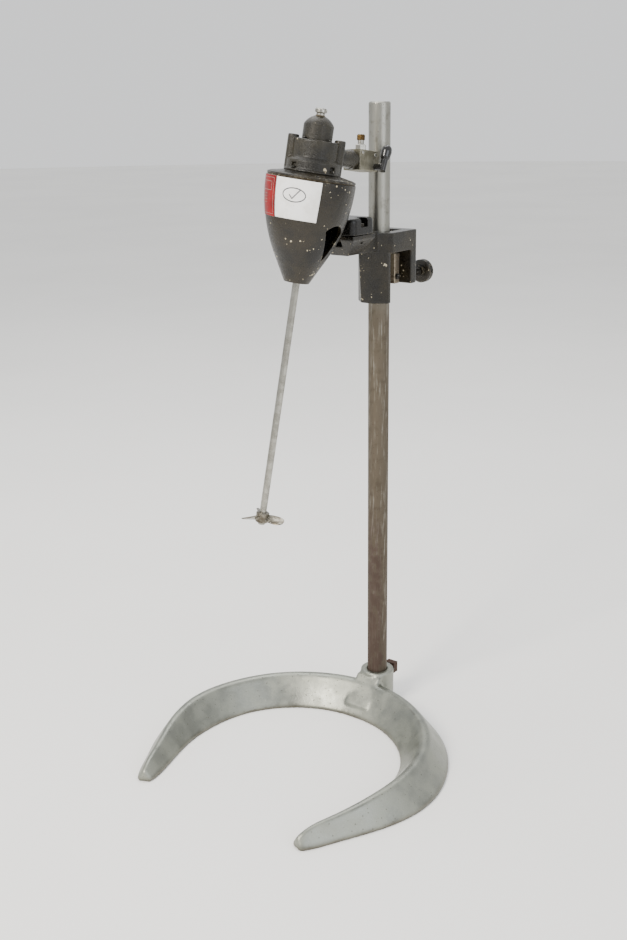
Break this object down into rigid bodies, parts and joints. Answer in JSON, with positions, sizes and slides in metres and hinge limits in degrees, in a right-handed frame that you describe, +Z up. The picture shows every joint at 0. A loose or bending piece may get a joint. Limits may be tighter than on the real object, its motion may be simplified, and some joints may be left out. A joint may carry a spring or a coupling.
{
  "type": "overhead stirrer",
  "caption": "Air-driven overhead stirrer: propeller shaft and chuck under a conical motor head, on a ball swivel, C-clamp, upright rod and horseshoe base.",
  "frame": {"origin": "on the floor, on the axis of the upright rod", "axes": "+Z up along the rod; -Y from the rod towards the motor head and the open side of the horseshoe base"},
  "size_m": [0.3716, 0.4287, 0.762],
  "materials": {
    "cast_aluminium": "sand-cast, ground along the edges",
    "rod_steel": "drawn, worn, light rust low down",
    "rusty_steel": "rusted",
    "olive_enamel": "baked enamel, chipped",
    "pad_steel": "worn paint",
    "bright_steel": "machined",
    "dark_steel": "black oxide",
    "plate_red": "enamel print",
    "label_paper": "paper",
    "gasket_fibre": "fibre",
    "vane_fibre": "laminated",
    "valve_alloy": "anodised, worn",
    "brass": "tarnished",
    "black_knob": "moulded",
    "bronze": "sintered",
    "prop_steel": "polished"
  },
  "bodies": {
    "base": {"base_casting": "cast_aluminium"},
    "setscrew": {"base_setscrew": "rusty_steel"},
    "rod": {"upright_rod": "rod_steel"},
    "bracket": {"clamp_frame": "olive_enamel", "socket_cap": "olive_enamel", "socket_cap_bolts": "dark_steel", "socket_lock_screw": "dark_steel"},
    "pad": {"clamp_pad": "pad_steel", "pad_screws": "dark_steel"},
    "screw": {"clamp_screw": "dark_steel", "clamp_knob": "olive_enamel", "knob_pin": "dark_steel"},
    "ball": {"swivel_ball": "bright_steel"},
    "head": {"swivel_arm": "bright_steel", "arm_nut": "bright_steel", "lower_casing": "olive_enamel", "cover_gasket": "gasket_fibre", "casing_cover": "olive_enamel", "cover_screws": "dark_steel", "shaft_bush": "bronze", "spindle_seal": "gasket_fibre", "nameplate": "plate_red", "paper_label": "label_paper", "motor_body": "olive_enamel", "motor_body_screws": "dark_steel", "top_cover": "olive_enamel", "top_screws": "dark_steel", "oil_plug_washer": "gasket_fibre", "oil_plug": "bright_steel", "lower_end_plate": "bright_steel", "upper_end_plate": "bright_steel", "cylinder_liner": "bright_steel", "bearing_outer_rings": "bright_steel", "inlet_neck": "olive_enamel", "valve_block": "valve_alloy", "valve_screws": "bright_steel", "inlet_union": "bright_steel"},
    "spindle": {"bearing_inner_rings": "bright_steel", "bearing_balls": "bright_steel", "rotor": "bright_steel", "vanes": "vane_fibre", "rotor_key": "bright_steel", "output_spindle": "bright_steel", "chuck_body": "dark_steel", "chuck_setscrews": "dark_steel", "mixing_shaft": "bright_steel", "propeller": "prop_steel", "propeller_setscrew": "prop_steel"},
    "union_ring": {"union_ring": "brass"},
    "lever": {"valve_spool": "bright_steel", "toggle_lever": "black_knob"}
  },
  "joints": [
    {"name": "rod_swivel", "type": "hinge", "parent": "base", "child": "rod", "pos_m": [0, 0, 0.049], "axis": [0, 0, 1], "range_deg": [-90, 90]},
    {"name": "setscrew_turn", "type": "hinge", "parent": "base", "child": "setscrew", "pos_m": [0, 0.03, 0.037], "axis": [0, 1, 0], "continuous": true},
    {"name": "bracket_height", "type": "slide", "parent": "rod", "child": "bracket", "axis": [0, 0, 1], "range_m": [-0.2, 0.13]},
    {"name": "pad_slide", "type": "slide", "parent": "bracket", "child": "pad", "axis": [0, 1, 0], "range_m": [0, 0.005]},
    {"name": "clamp_screw_turn", "type": "hinge", "parent": "pad", "child": "screw", "pos_m": [0, 0.05, 0.558], "axis": [0, 1, 0], "range_deg": [0, 1201]},
    {"name": "swivel_tilt", "type": "hinge", "parent": "bracket", "child": "ball", "pos_m": [0, -0.07, 0.6195], "axis": [1, 0, 0], "range_deg": [-8, 16]},
    {"name": "swivel_roll", "type": "hinge", "parent": "ball", "child": "head", "pos_m": [0, -0.07, 0.6195], "axis": [0, 0.9919, -0.1271], "range_deg": [-8, 14]},
    {"name": "spindle_spin", "type": "hinge", "parent": "head", "child": "spindle", "pos_m": [0.00592, -0.13982, 0.68519], "axis": [0.1045, 0.1264, 0.9865], "continuous": true},
    {"name": "union_ring_turn", "type": "hinge", "parent": "head", "child": "union_ring", "pos_m": [0.00695, -0.04773, 0.72726], "axis": [-0.0523, 0.1269, 0.9905], "continuous": true},
    {"name": "lever_toggle", "type": "hinge", "parent": "head", "child": "lever", "pos_m": [0.00879, -0.03929, 0.69084], "axis": [0.9986, 0.0066, 0.0519], "range_deg": [0, 60]}
  ],
  "couplings": [
    {"joint": "clamp_screw_turn", "follows": "pad_slide", "rad_per_m": 4188.8}
  ]
}
